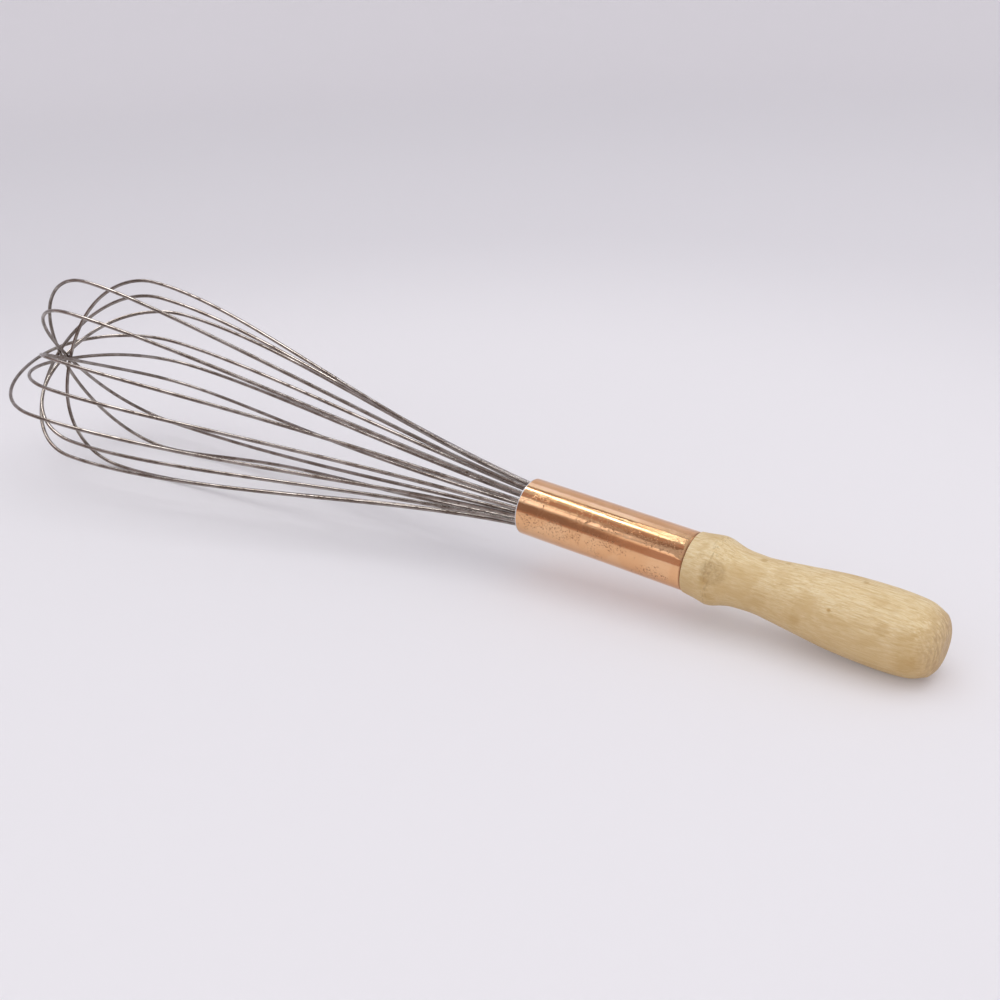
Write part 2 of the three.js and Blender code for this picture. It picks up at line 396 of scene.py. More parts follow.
def dented(x, turn, dents):
    """How far the surface is pushed in at a place, by all the dents near it."""
    depth = 0.0
    for dent_x, dent_turn, half_length, half_width, deepest in dents:
        off_turn = (turn - dent_turn + 180) % 360 - 180
        spread = ((x - dent_x) / half_length) ** 2 + (off_turn / half_width) ** 2
        if spread < 9:
            depth += deepest * math.exp(-spread)
    return depth


def ferrule_shift(x, turn, radius):
    if radius < (FERRULE_RADIUS + BORE_RADIUS) / 2:
        return 0.0
    place = around(x * 0.25, 5, turn) * 0.12
    ripple = RIPPLE_DEPTH * noise.noise(place + Vector((3.1, 7.7, 1.3)))
    return ripple - dented(x, turn, FERRULE_DENTS)


def ferrule_outline():
    """The tube's wall, from inside the mouth round the lip and along the outside to the rear."""
    rear = FERRULE_LENGTH - FIT_GAP
    roll_start = rear - REAR_ROLL_LENGTH
    middle = (FERRULE_RADIUS + BORE_RADIUS) / 2
    half_wall = (FERRULE_RADIUS - BORE_RADIUS) / 2
    outline = [(BORE_START, BORE_RADIUS), (half_wall, BORE_RADIUS)]
    for k in range(LIP_STEPS + 1):
        angle = math.pi * k / LIP_STEPS
        x = LIP_ROUND - LIP_ROUND * math.sin(angle)
        outline.append((x, middle - half_wall * math.cos(angle)))
    for k in range(FERRULE_STEPS + 1):
        x = OUTSIDE_START + (roll_start - OUTSIDE_START) * k / FERRULE_STEPS
        outline.append((x, FERRULE_RADIUS))
    for k in range(1, ROLL_STEPS + 1):
        angle = math.pi / 2 * k / ROLL_STEPS
        x = roll_start + REAR_ROLL_LENGTH * math.sin(angle)
        outline.append((x, FERRULE_RADIUS - REAR_ROLL * (1 - math.cos(angle))))
    outline.append((rear, BORE_RADIUS + REAR_EDGE_ROUND))
    outline.append((rear - REAR_EDGE_ROUND, BORE_RADIUS))
    for k in range(1, BORE_STEPS):
        outline.append((rear - (rear - BORE_START) * k / BORE_STEPS, BORE_RADIUS))
    return outline


def ferrule(material):
    made = turned_mesh(
        "ferrule_tube_fine", ferrule_outline(), FERRULE_SIDES, ferrule_shift, closed=True
    )
    finished(made, material, "ferrule_tube")


# ---- Handle ---------------------------------------------------------------------------------

HANDLE_SIDES = 200
OUTLINE_STEPS = 12
CROWN_STEPS = 5
TENON_STEPS = 13
TENON_END_RING = 5  # radius of a ring of points on the flat end of the tenon
SHOULDER_RINGS = (12.1, 12.75)  # radii on the flat shoulder that faces the ferrule
SHOULDER_EDGE = (0.12, 12.95)  # distance from the ferrule, radius
BUTT_RINGS = (5.5, 4.0, 2.5, 1.0)  # radii on the flat face of the butt
WOOD_WAVE = 0.10  # how far out of round the wood is, over lengths of a few cm
TOOL_RIPPLE = 0.016  # the turning tool's marks, along the handle

# Knocks and worn flats on the wood, as for the ferrule but with x from the ferrule's mouth
HANDLE_DENTS = [
    (91.6, 65, 3.6, 15, 0.30),
    (90.0, 76, 2.5, 12, 0.22),
    (89.5, 108, 3.0, 15, 0.25),
    (90.5, 20, 2.6, 12, 0.16),
    (90.0, 330, 3.0, 16, 0.25),
    (90.5, 250, 3.2, 18, 0.3),
    (90.0, 180, 3.0, 14, 0.2),
    (140.4, 61, 0.8, 2.6, 0.18),
    (161.5, 59, 0.9, 3.0, 0.16),
    (150.0, 40, 1.2, 4.0, 0.07),
    (128.0, 98, 1.6, 5.0, 0.1),
    (171.0, 84, 2.2, 8.0, 0.12),
    (160.0, 200, 2.0, 7.0, 0.15),
    (120.0, 300, 1.5, 6.0, 0.12),
]


def handle_shift(x, turn, radius):
    if x < FERRULE_LENGTH or radius < BUTT_FLAT_RADIUS:
        return 0.0
    broad = WOOD_WAVE * noise.noise(around(x * 0.3, 6, turn) * 0.11)
    off_turn = 0.4 * math.cos(math.radians(turn))
    tool = TOOL_RIPPLE * noise.noise(Vector((x * 1.3, off_turn, 9.0)))
    fade = smoothstep((x - FERRULE_LENGTH) / 2)
    return (broad + tool) * fade - dented(x, turn, HANDLE_DENTS)


def handle_outline():
    joint = FERRULE_LENGTH
    tenon_radius = BORE_RADIUS - FIT_GAP
    start = joint - TENON_LENGTH
    full_start = start + TENON_CHAMFER
    full_length = TENON_LENGTH - TENON_CHAMFER
    outline = [(start, 0), (start, TENON_END_RING), (start, tenon_radius - TENON_CHAMFER)]
    for k in range(TENON_STEPS + 1):
        outline.append((full_start + full_length * k / TENON_STEPS, tenon_radius))
    outline += [(joint, radius) for radius in SHOULDER_RINGS]
    for x, radius in spline([SHOULDER_EDGE] + GRIP_OUTLINE[1:], OUTLINE_STEPS):
        outline.append((joint + x, radius))
    crown_points = [GRIP_OUTLINE[-1], *BUTT_CROWN, (HANDLE_LENGTH, BUTT_FLAT_RADIUS)]
    outline += [(joint + x, radius) for x, radius in spline(crown_points, CROWN_STEPS)[1:]]
    outline += [(joint + HANDLE_LENGTH, radius) for radius in (*BUTT_RINGS, 0)]
    return outline


def handle(material):
    made = turned_mesh(
        "handle_fine", handle_outline(), HANDLE_SIDES, handle_shift, crease_angle=32
    )
    finished(made, material, "handle")


# ---- Pieces inside the mouth ----------------------------------------------------------------

SOLDER_RINGS = 34
SOLDER_SIDES = 192
SOLDER_RIM_GAP = 0.05  # to the bore of the ferrule
SOLDER_DISH = 0.35
SOLDER_RIPPLE = 0.12
WIRE_CREEP = 0.7  # how far the solder climbs along each wire, and how fast that fades
WIRE_CREEP_FADE = 0.45
TUBE_CREEP = 0.8  # the same against the tube
TUBE_CREEP_FADE = 0.5
TUBE_CREEP_RADIUS = BORE_RADIUS - 0.1  # where it reaches its full height
HIGHEST_CREEP = 1.1  # the most that the solder stands out past its start
PLUG_SIDES = 96
PLUG_STEPS = 16
PLUG_RIPPLE = 0.05
PLUG_END_RING = 3  # radius of a ring of points on each flat end of the plug
BINDING_SIDES = 14
STEPS_PER_BINDING_TURN = 64


def solder_surface(radius, turn):
    """The face of the solder: dished, and drawn up round each wire and against the tube."""
    place = around(0, radius, turn)
    wire_ring = MOUTH_RADIUS - FLARE_SLOPE * SOLDER_START
    x = SOLDER_START + SOLDER_DISH
    for seat in range(2 * len(LOOPS)):
        wire = around(0, wire_ring, FIRST_SEAT_TURN + SEAT_PITCH * seat)
        off = (place - wire).length - WIRE_RADIUS
        x -= WIRE_CREEP * math.exp(-max(off, 0) / WIRE_CREEP_FADE)
    x -= TUBE_CREEP * math.exp(-(TUBE_CREEP_RADIUS - radius) / TUBE_CREEP_FADE)
    x += SOLDER_RIPPLE * noise.noise(place * 0.5)
    return max(x, SOLDER_START - HIGHEST_CREEP)


def solder(material):
    outer = BORE_RADIUS - SOLDER_RIM_GAP
    vertices = [placed((solder_surface(0, 0), 0, 0), CAGE)]
    for k in range(1, SOLDER_RINGS + 1):
        radius = outer * k / SOLDER_RINGS
        for j in range(SOLDER_SIDES):
            turn = 360 * j / SOLDER_SIDES
            vertices.append(placed(around(solder_surface(radius, turn), radius, turn)))
    rim = 1 + (SOLDER_RINGS - 1) * SOLDER_SIDES
    back = len(vertices)
    for j in range(SOLDER_SIDES):
        vertices.append(placed(around(SOLDER_END, outer, 360 * j / SOLDER_SIDES)))
    vertices.append(placed((SOLDER_END, 0, 0)))
    centre_back = len(vertices) - 1
    faces = []
    for j in range(SOLDER_SIDES):
        after = (j + 1) % SOLDER_SIDES
        faces.append((0, 1 + j, 1 + after))
        for k in range(SOLDER_RINGS - 1):
            low = 1 + k * SOLDER_SIDES
            high = low + SOLDER_SIDES
            faces.append((low + after, low + j, high + j, high + after))
        faces.append((rim + after, rim + j, back + j, back + after))
        faces.append((back + after, back + j, centre_back))
    made = mesh_object("mouth_solder_fine", vertices, faces)
    finished(made, material, "mouth_solder")


def core_plug(material):
    narrow = PLUG_RADIUS - PLUG_CHAMFER
    full_start = PLUG_START + PLUG_CHAMFER
    full_length = WIRE_GRIP - PLUG_CHAMFER - full_start
    outline = [(PLUG_START, radius) for radius in (0, PLUG_END_RING, narrow)]
    for k in range(PLUG_STEPS + 1):
        outline.append((full_start + full_length * k / PLUG_STEPS, PLUG_RADIUS))
    outline += [(WIRE_GRIP, radius) for radius in (narrow, PLUG_END_RING, 0)]

    def shift(x, turn, radius):
        return PLUG_RIPPLE * noise.noise(around(x * 0.4, 4, turn) * 0.3)

    made = turned_mesh("core_plug_fine", outline, PLUG_SIDES, shift)
    finished(made, material, "core_plug")


def binding_wire(material):
    radius = RING_RADIUS + WIRE_RADIUS + FIT_GAP + BINDING_DIAMETER / 2
    steps = STEPS_PER_BINDING_TURN * BINDING_TURNS
    path = []
    for k in range(steps + 1):
        t = k / steps
        x = BINDING_START + BINDING_PITCH * BINDING_TURNS * t
        path.append(around(x, radius, 360 * BINDING_TURNS * t))
    made = wire_mesh("binding_wire_fine", path, BINDING_DIAMETER / 2, BINDING_SIDES, CAGE)
    finished(made, material, "binding_wire")


# ---- Node helpers ---------------------------------------------------------------------------


class Look:
    """A node material being written. Each helper adds a node and returns its output."""

    def __init__(self, name):
        self.material = bpy.data.materials.new(name)
        self.material.use_nodes = True
        self.tree = self.material.node_tree
        self.shader = self.tree.nodes["Principled BSDF"]

    def put(self, socket, value):
        if isinstance(value, bpy.types.NodeSocket):
            self.tree.links.new(value, socket)
        elif isinstance(value, tuple) and len(value) == 3 and socket.type == "RGBA":
            socket.default_value = (*value, 1)
        else:
            socket.default_value = value

    def set(self, **values):
        for name, value in values.items():
            self.put(self.shader.inputs[name.replace("_", " ")], value)

    def whisk_place(self):
        """The place on the piece in the whisk's own frame, in mm."""
        source = self.tree.nodes.new("ShaderNodeTexCoord")
        turn = self.tree.nodes.new("ShaderNodeMapping")
        turn.vector_type = "TEXTURE"
        turn.inputs["Location"].default_value = MOUTH
        turn.inputs["Rotation"].default_value = (0, TILT, 0)
        turn.inputs["Scale"].default_value = (MM, MM, MM)
        self.tree.links.new(source.outputs["Object"], turn.inputs["Vector"])
        return turn.outputs["Vector"]

    def wire_place(self):
        """Length along the wire and distance round it, in mm."""
        source = self.tree.nodes.new("ShaderNodeUVMap")
        source.uv_map = "along_wire"
        return source.outputs["UV"]

    def stretched(self, place, factors, offset=(0, 0, 0)):
        turn = self.tree.nodes.new("ShaderNodeMapping")
        turn.inputs["Scale"].default_value = factors
        turn.inputs["Location"].default_value = offset
        self.tree.links.new(place, turn.inputs["Vector"])
        return turn.outputs["Vector"]

    def noise(self, place, scale, detail=2.0, roughness=0.5, distortion=0.0):
        made = self.tree.nodes.new("ShaderNodeTexNoise")
        self.put(made.inputs["Vector"], place)
        made.inputs["Scale"].default_value = scale
        made.inputs["Detail"].default_value = detail
        made.inputs["Roughness"].default_value = roughness
        made.inputs["Distortion"].default_value = distortion
        return made.outputs["Fac"]

    def remap(self, value, low, high, to_low=0.0, to_high=1.0):
        made = self.tree.nodes.new("ShaderNodeMapRange")
        made.interpolation_type = "SMOOTHSTEP"
        self.put(made.inputs["Value"], value)
        limits = {"From Min": low, "From Max": high, "To Min": to_low, "To Max": to_high}
        for name, number in limits.items():
            made.inputs[name].default_value = number
        return made.outputs["Result"]

    def math(self, operation, a, b=0.0):
        made = self.tree.nodes.new("ShaderNodeMath")
        made.operation = operation
        self.put(made.inputs[0], a)
        self.put(made.inputs[1], b)
        return made.outputs[0]

    def times(self, *values):
        result = values[0]
        for value in values[1:]:
            result = self.math("MULTIPLY", result, value)
        return result

    def plus(self, *values):
        result = values[0]
        for value in values[1:]:
            result = self.math("ADD", result, value)
        return result

    def blend(self, share, below, above):
        made = self.tree.nodes.new("ShaderNodeMix")
        made.data_type = "RGBA"
        self.put(made.inputs["Factor"], share)
        self.put(made.inputs[6], below)
        self.put(made.inputs[7], above)
        return made.outputs[2]

    def ramp(self, value, *stops):
        made = self.tree.nodes.new("ShaderNodeValToRGB")
        points = made.color_ramp.elements
        while len(points) < len(stops):
            points.new(0.5)
        for point, (place, colour) in zip(points, stops):
            point.position = place
            point.color = (*colour, 1)
        self.put(made.inputs["Fac"], value)
        return made.outputs["Color"]

    def axis(self, place, letter):
        made = self.tree.nodes.new("ShaderNodeSeparateXYZ")
        self.put(made.inputs[0], place)
        return made.outputs[letter]

    def distance(self, place, point):
        made = self.tree.nodes.new("ShaderNodeVectorMath")
        made.operation = "DISTANCE"
        self.put(made.inputs[0], place)
        made.inputs[1].default_value = point
        return made.outputs["Value"]

    def patch(self, place, centre, half_length, half_width, wander):
        """One inside an oval patch with a ragged edge, and nothing outside it."""
        shape = (1 / half_length, 1 / half_width, 1 / half_width)
        squeezed = self.stretched(place, shape)
        middle = tuple(c * f for c, f in zip(centre, shape))
        off = self.plus(self.distance(squeezed, middle), wander)
        return self.remap(off, 0.55, 1.15, 1.0, 0.0)

    def bumps(self, *layers):
        """Bump layers of (height, depth in mm), each on top of the one before."""
        normal = None
        for height, depth in layers:
            made = self.tree.nodes.new("ShaderNodeBump")
            self.put(made.inputs["Height"], height)
            made.inputs["Strength"].default_value = 1
            made.inputs["Distance"].default_value = depth * MM
            if normal:
                self.tree.links.new(normal, made.inputs["Normal"])
            normal = made.outputs["Normal"]
        self.put(self.shader.inputs["Normal"], normal)


# ---- Materials ------------------------------------------------------------------------------


def steel_look(name, clean, dull, tarnish, brown_amount):
    """Drawn stainless wire: fine lines along it, dull patches and small brown spots."""
    look = Look(name)
    place = look.whisk_place()
    wire = look.wire_place()
    drawn = look.noise(look.stretched(wire, (0.02, 5.0, 1.0)), 1.0, detail=3)
    patches = look.noise(place, 0.10, detail=4, roughness=0.6)
    worn = look.remap(patches, 0.38, 0.64)
    colour = look.blend(worn, clean, dull)
    fine = look.noise(look.stretched(wire, (0.5, 2.2, 1.0)), 1.0, detail=4, roughness=0.65)
    spots = look.times(look.remap(fine, 0.52, 0.60), look.remap(patches, 0.44, 0.56))
    colour = look.blend(look.times(spots, brown_amount), colour, tarnish)
    polish = look.remap(drawn, 0.35, 0.65, 0.09, 0.15)
    look.set(Base_Color=colour, Metallic=1.0, Roughness=look.plus(polish, look.times(spots, 0.25)))
    look.bumps((drawn, 0.003), (spots, 0.006))
    return look.material


COPPER_CLEAN = (0.87, 0.53, 0.29)
COPPER_WARM = (0.82, 0.455, 0.225)
COPPER_STAIN = (0.20, 0.075, 0.04)
# painted shade along the tube's rear edge, in the gap where it meets the handle
COPPER_REAR_GAP_SHADE = (0.30, 0.12, 0.06)
COPPER_WORN_RIM = (0.60, 0.60, 0.63)
WORN_RIM_LIMITS = (0.45, 0.75)  # where the pale rim of the mouth ends, from bare to copper
REAR_GAP_SHADE_LIMITS = (FERRULE_LENGTH - 1.2, FERRULE_LENGTH - 0.5)

STAINED_PLACES = [  # x, turn from the top, half length, half width: bands of small dark specks
    (22, 87, 22, 3.6), (46, 45, 20, 2.4), (66, 46, 10, 2.6), (10, 40, 6, 3.0), (68, 106, 7, 3.0),
    (9, 92, 6, 4.0), (44, 84, 14, 3.0), (36, 200, 24, 6.0), (58, 280, 18, 6.0), (16, 320, 12, 5.0),
]


def copper_marks(look, place):
    """Clusters of small dark specks, and the broken outlines of dried drops among them."""
    wander = look.remap(look.noise(place, 0.35, detail=3), 0.25, 0.75, -0.7, 0.7)
    clouds = look.noise(place, 0.11, detail=2, distortion=0.4)
    clusters = look.remap(clouds, 0.60, 0.70, 0.0, 0.6)
    for x, turn, half_length, half_width in STAINED_PLACES:
        centre = around(x, FERRULE_RADIUS, turn)
        inside = look.patch(place, centre, half_length, half_width, wander)
        clusters = look.math("MAXIMUM", clusters, inside)
    speckle = look.remap(look.noise(place, 1.3, detail=4, roughness=0.7), 0.54, 0.585)
    spots = look.times(clusters, speckle)
    drops = look.noise(place, 0.42, detail=1.0, distortion=0.5)
    edge = look.math("ABSOLUTE", look.math("SUBTRACT", drops, 0.56))
    outlines = look.times(look.remap(edge, 0.004, 0.018, 1.0, 0.0), clusters, speckle)
    both = look.plus(look.times(spots, 0.6), look.times(outlines, 0.6))
    return look.math("MINIMUM", both, 1.0)


def copper_look():
    """Polished copper tube that has been used: drawing lines, stains, dried drops, scratches."""
    look = Look("copper_used")
    place = look.whisk_place()
    broad = look.noise(place, 0.055, detail=3, roughness=0.6, distortion=0.6)
    lines = look.noise(look.stretched(place, (0.025, 1.6, 1.6)), 1.0, detail=4, roughness=0.6)
    marks = copper_marks(look, place)
    along = look.axis(place, "X")
    # Painted shade: the copper darkens along its rear edge, where it meets the handle.
    rear_gap_shade = look.remap(along, *REAR_GAP_SHADE_LIMITS)
    rim = look.remap(along, *WORN_RIM_LIMITS, 1.0, 0.0)
    scratch_place = look.stretched(place, (0.12, 3.2, 2.4), (4, 1, 7))
    scratches = look.noise(scratch_place, 1.0, detail=5, roughness=0.7)

    colour = look.blend(look.remap(broad, 0.42, 0.62, 0.0, 0.7), COPPER_CLEAN, COPPER_WARM)
    colour = look.blend(look.remap(lines, 0.48, 0.66, 0.0, 0.28), colour, COPPER_WARM)
    colour = look.blend(marks, colour, COPPER_STAIN)
    colour = look.blend(look.times(rear_gap_shade, 0.7), colour, COPPER_REAR_GAP_SHADE)
    colour = look.blend(rim, colour, COPPER_WORN_RIM)
    look.set(
        Base_Color=colour,
        Metallic=look.remap(along, *WORN_RIM_LIMITS, 0.2, 1.0),
        Roughness=look.plus(
            look.times(rim, 0.3),
            look.remap(lines, 0.35, 0.65, 0.06, 0.12),
            look.times(marks, 0.35),
            look.remap(broad, 0.45, 0.65, 0.0, 0.05),
        ),
    )
    look.bumps((broad, 0.12), (lines, 0.006), (scratches, 0.004), (marks, 0.012))
    return look.material


WOOD_DARK_BAND = (0.61, 0.435, 0.21)
WOOD_MID_BAND = (0.725, 0.555, 0.30)
WOOD_PALE_BAND = (0.80, 0.655, 0.405)
WOOD_DARK_FLECK = (0.45, 0.285, 0.115)
WOOD_BRIGHT_FLECK = (0.86, 0.75, 0.54)
WOOD_STAIN = (0.58, 0.395, 0.17)
# painted shade for the bottom of the handle, where less light falls
WOOD_BOTTOM_SHADE = (0.55, 0.37, 0.16)
WOOD_SPOT = (0.47, 0.285, 0.09)
WOOD_RUBBED = (0.42, 0.275, 0.115)
WOOD_SCUFF = (0.33, 0.21, 0.09)
WOOD_END_GRAIN = (0.45, 0.29, 0.14)

RUBBED_PLACE = around(93.5, 14, 66)  # on the front of the collar bead
BEAD_EDGE_RISE = (87.6, 90.2)  # along the axis, where the bead's worn edge fades in and out
BEAD_EDGE_FALL = (93.0, 90.6)
BUTT_END_GRAIN = (173.0, 180.6)

WOOD_SPOTS = [  # x, turn, size, strength of yellow-brown marks
    (108.5, 2, 1.9, 0.6), (117.5, -8, 1.7, 0.5), (148.5, -3, 1.6, 0.55), (161.0, 62, 3.4, 0.4),
    (140.5, 61, 1.0, 0.85), (128.0, 96, 3.0, 0.35), (171.0, 70, 8.0, 0.3), (112.0, 88, 5.0, 0.3),
    (90.0, 82, 3.2, 0.6), (172.0, 105, 6.0, 0.5), (92.0, 112, 3.0, 0.5), (130.0, 230, 6.0, 0.5),
]


def grip_radius(x):
    """The handle's radius at a distance from the ferrule's mouth."""
    from_joint = x - FERRULE_LENGTH
    for (x0, r0), (x1, r1) in zip(GRIP_OUTLINE, GRIP_OUTLINE[1:]):
        if x0 <= from_joint <= x1:
            return r0 + (r1 - r0) * (from_joint - x0) / (x1 - x0)
    return GRIP_OUTLINE[-1][1]


def wood_grain(look, place, fibre, flecks, height):
    """Clean wood: pale and darker bands, with fine dark and bright flecks along the grain."""
    colour = look.ramp(
        fibre, (0.34, WOOD_DARK_BAND), (0.48, WOOD_MID_BAND), (0.63, WOOD_PALE_BAND)
    )
    # Painted shade: the dark flecks grow stronger towards the bottom of the handle.
    fleck_shade_below = look.remap(height, 8.0, -2.0, 0.12, 0.36)
    dark = look.times(look.remap(flecks, 0.53, 0.66), fleck_shade_below)
    colour = look.blend(dark, colour, WOOD_DARK_FLECK)
    streaks = look.noise(look.stretched(place, (0.3, 2.8, 2.8), (8, 2, 5)), 1.0, detail=3)
    bright = look.remap(streaks, 0.53, 0.68)
    return look.blend(look.times(bright, 0.40), colour, WOOD_BRIGHT_FLECK)


def wood_stains(look, place, colour, broad, fibre, height):
    """Broad stains, painted shade towards the bottom, and small yellow-brown spots."""
    stained = look.remap(broad, 0.46, 0.64)
    colour = look.blend(look.times(stained, 0.5), colour, WOOD_STAIN)
    # Painted shade: the wood is darkened towards the bottom, where less light falls.
    bottom_shade = look.remap(height, 13.0, -3.0)
    colour = look.blend(look.times(bottom_shade, 0.60), colour, WOOD_BOTTOM_SHADE)
    for x, turn, size, strength in WOOD_SPOTS:
        centre = around(x, grip_radius(x), turn)
        off = look.plus(look.distance(place, centre), look.times(fibre, 0.9 * size))
        near = look.remap(off, 0.75 * size, 1.5 * size, 1.0, 0.0)
        colour = look.blend(look.times(near, strength), colour, WOOD_SPOT)
    return colour


def wood_wear(look, place, colour, broad, grime):
    """A dirty rubbed patch on the collar bead, its scuffed edge, and the butt's end grain."""
    off = look.plus(look.distance(place, RUBBED_PLACE), look.times(broad, 6.0))
    rubbed = look.remap(off, 6.2, 9.4, 1.0, 0.0)
    dirty = look.plus(0.40, look.times(grime, 0.3))
    colour = look.blend(look.times(rubbed, dirty), colour, WOOD_RUBBED)
    along = look.axis(place, "X")
    worn_edge = look.times(
        look.remap(along, *BEAD_EDGE_RISE), look.remap(along, *BEAD_EDGE_FALL)
    )
    scuff_place = look.stretched(place, (1.2, 0.45, 0.45))
    scuffs = look.remap(look.noise(scuff_place, 1.0, detail=5, roughness=0.7), 0.50, 0.60)
    colour = look.blend(look.times(worn_edge, scuffs, 0.45), colour, WOOD_SCUFF)
    butt = look.remap(along, *BUTT_END_GRAIN)
    rings = look.noise(look.stretched(place, (0.10, 1.0, 0.28)), 0.9, detail=4, distortion=0.6)
    end_grain = look.remap(rings, 0.38, 0.60, 0.2, 0.8)
    return look.blend(look.times(butt, end_grain), colour, WOOD_END_GRAIN)


def wood_look():
    """Pale close-grained turned wood, handled: short fine grain, broad stains and rubbed dirt."""
    look = Look("beech_used")
    place = look.whisk_place()
    height = look.axis(place, "Z")
    fibre_place = look.stretched(place, (0.13, 1.3, 1.3))
    fibre = look.noise(fibre_place, 1.0, detail=6, roughness=0.68, distortion=0.15)
    fleck_place = look.stretched(place, (0.5, 3.6, 3.6), (3, 9, 2))
    flecks = look.noise(fleck_place, 1.0, detail=3, roughness=0.62)
    broad_place = look.stretched(place, (0.55, 1, 1), (11, 4, 8))
    broad = look.noise(broad_place, 0.12, detail=4, distortion=0.7)
    grime = look.remap(look.noise(place, 0.9, detail=5, roughness=0.7), 0.42, 0.6)

    colour = wood_grain(look, place, fibre, flecks, height)
    colour = wood_stains(look, place, colour, broad, fibre, height)
    colour = wood_wear(look, place, colour, broad, grime)
    look.set(
        Base_Color=colour,
        Roughness=look.remap(fibre, 0.35, 0.65, 0.58, 0.46),
        Specular_IOR_Level=0.4,
        Subsurface_Weight=0.04,
        Subsurface_Radius=(0.002, 0.0012, 0.0006),
    )
    look.bumps((broad, 0.12), (fibre, 0.04), (flecks, 0.03), (grime, 0.015))
    return look.material


def dowel_look():
    look = Look("dowel_wood")
    place = look.whisk_place()
    fibre = look.noise(look.stretched(place, (0.06, 1.1, 1.1)), 1.0, detail=5, roughness=0.6)
    colour = look.ramp(fibre, (0.32, (0.40, 0.26, 0.13)), (0.66, (0.62, 0.46, 0.27)))
    look.set(Base_Color=colour, Roughness=look.remap(fibre, 0.3, 0.7, 0.8, 0.65))
    look.bumps((fibre, 0.08))
    return look.material


def solder_look():
    look = Look("solder_grey")
    place = look.whisk_place()
    cloud = look.noise(place, 0.5, detail=4, roughness=0.65)
    colour = look.ramp(cloud, (0.34, (0.34, 0.33, 0.32)), (0.66, (0.62, 0.62, 0.61)))
    look.set(Base_Color=colour, Metallic=1.0, Roughness=look.remap(cloud, 0.3, 0.7, 0.5, 0.32))
    look.bumps((cloud, 0.05))
    return look.material


# ---- Floor ----------------------------------------------------------------------------------

FLOOR_RADIUS = 3.0
FLAT_RING_STEP = 0.15
FLAT_RINGS = 11
CURVE_STEPS = 24
FLOOR_SIDES = 96
WALL_HEIGHT = 2.2
FLOOR_COLOUR = (0.735, 0.72, 0.745)
# Painted shade: the paper is painted darker far from the whisk and on the wall, as the light falls
# off.
FAR_FLOOR_SHADE = (0.65, 0.635, 0.665)
WALL_SHADE = (0.71, 0.69, 0.72)
FAR_FLOOR_SHADE_FADE = (0.26, 0.66)  # distances from the origin
WALL_SHADE_FADE = (1.1, 2.2)
FLOOR_GLOW = 0.10  # painted light: the paper glows a little, though it is no lamp, which keeps the shadows pale


def floor_rings():
    """The sweep's (radius, height) rings: flat, then a quarter circle, then a short wall."""
    rings = [(FLAT_RING_STEP * k, 0.0) for k in range(1, FLAT_RINGS + 1)]
    flat = rings[-1][0]
    curve = FLOOR_RADIUS - flat
    for k in range(1, CURVE_STEPS + 1):
        angle = math.pi / 2 * k / CURVE_STEPS
        rings.append((flat + curve * math.sin(angle), curve * (1 - math.cos(angle))))
    rings.append((FLOOR_RADIUS, WALL_HEIGHT + curve))
    return rings


def floor_look():
    look = Look("floor_paper")
    source = look.tree.nodes.new("ShaderNodeTexCoord")
    far = look.distance(source.outputs["Object"], (0, 0, 0))
    # Painted shade: darker with distance from the whisk, and again on the wall.
    colour = look.blend(look.remap(far, *FAR_FLOOR_SHADE_FADE), FLOOR_COLOUR, FAR_FLOOR_SHADE)
    colour = look.blend(look.remap(far, *WALL_SHADE_FADE), colour, WALL_SHADE)
    look.set(Base_Color=colour, Roughness=0.85, Specular_IOR_Level=0.2)
    # Painted light: the floor glows a little, though it is no lamp.
    look.set(Emission_Color=colour, Emission_Strength=FLOOR_GLOW / FLOOR_COLOUR[0])
    return look.material


def floor():
    """A pale seamless sweep: flat, then curving up all round, far from the whisk."""
    sides = FLOOR_SIDES
    rings = floor_rings()
    vertices = [(0, 0, 0)]
    for radius, height in rings:
        for j in range(sides):
            angle = 2 * math.pi * j / sides
            vertices.append((radius * math.cos(angle), radius * math.sin(angle), height))
    faces = [(0, 1 + j, 1 + (j + 1) % sides) for j in range(sides)]
    for k in range(len(rings) - 1):
        low = 1 + k * sides
        high = low + sides
        for j in range(sides):
            after = (j + 1) % sides
            faces.append((low + j, high + j, high + after, low + after))
    made = mesh_object("floor", vertices, faces, crease_angle=60)
    made.data.materials.append(floor_look())


# ---- Lights ---------------------------------------------------------------------------------

LIGHT_TARGET = placed((40, 0, 0))  # about the middle of the ferrule
KEY_HALF_SPREAD = 0.42
WHITE = (1, 1, 1)

# Panels that only show in the metal: name, the two directions that the long side runs between
# (as for seen_from), distance, width, radiance, colour.
REFLECTED_PANELS = [
    ("streak_lower", (0.462, 95), (0.38, 86), 1.3, 0.045, 13.0, WHITE),
    ("streak_tail", (0.38, 86), (0.345, 82), 1.3, 0.035, 4.5, WHITE),
    ("streak_upper", (0.425, 99), (0.345, 107), 1.3, 0.022, 4.0, WHITE),
    ("streak_end", (0.345, 84), (0.345, 107), 1.3, 0.02, 3.0, WHITE),
    ("upper_soft", (0.54, 140), (0.30, 140), 1.35, 1.25, 0.10, WHITE),
    ("upper_bright", (0.54, 123), (0.355, 123), 1.35, 0.45, 0.50, (0.70, 0.95, 1.5)),
    ("front_soft", (0.52, 47), (0.39, 47), 1.3, 0.36, 1.0, (0.95, 1, 1.12)),
    ("front_dim", (0.385, 33), (0.32, 26), 1.3, 0.18, 0.55, WHITE),
    ("cage_light", (0.80, 100), (0.62, 84), 1.5, 0.3, 9.0, WHITE),
    ("throat_light", (0.64, 98), (0.485, 96), 1.3, 0.10, 12.0, WHITE),
]

